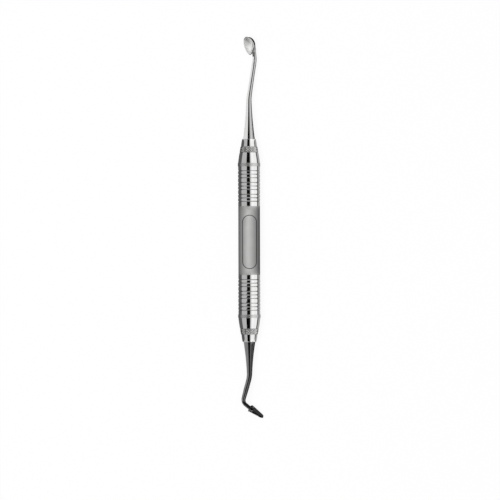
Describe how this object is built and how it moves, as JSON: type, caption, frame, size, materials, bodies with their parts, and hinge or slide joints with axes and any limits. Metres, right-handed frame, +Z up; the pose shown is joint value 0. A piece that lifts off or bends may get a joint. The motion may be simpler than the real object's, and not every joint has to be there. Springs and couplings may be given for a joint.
{
  "type": "bone curette",
  "caption": "Hand instrument: turned, grooved and knurled tubular handle, cupped spoon on a long tapered shank at one end, toothed file head on a bent black shank at the other.",
  "frame": {"origin": "middle of the instrument's box at ground level, as it lies at rest on the handle's collars and the toe of the file", "axes": "+X along the handle towards the spoon, -X towards the file, +Z up; the file's toe points to -Y and down"},
  "size_m": [0.1672, 0.011, 0.0098],
  "materials": {
    "handle_steel": "polished stainless steel with a bead-blasted satin grip band",
    "spoon_steel": "mirror-polished stainless steel",
    "black_coating": "glossy black hard coating on steel"
  },
  "bodies": {
    "root": {"handle": "handle_steel", "spoon_tip": "spoon_steel", "file_tip": "black_coating"}
  },
  "joints": []
}
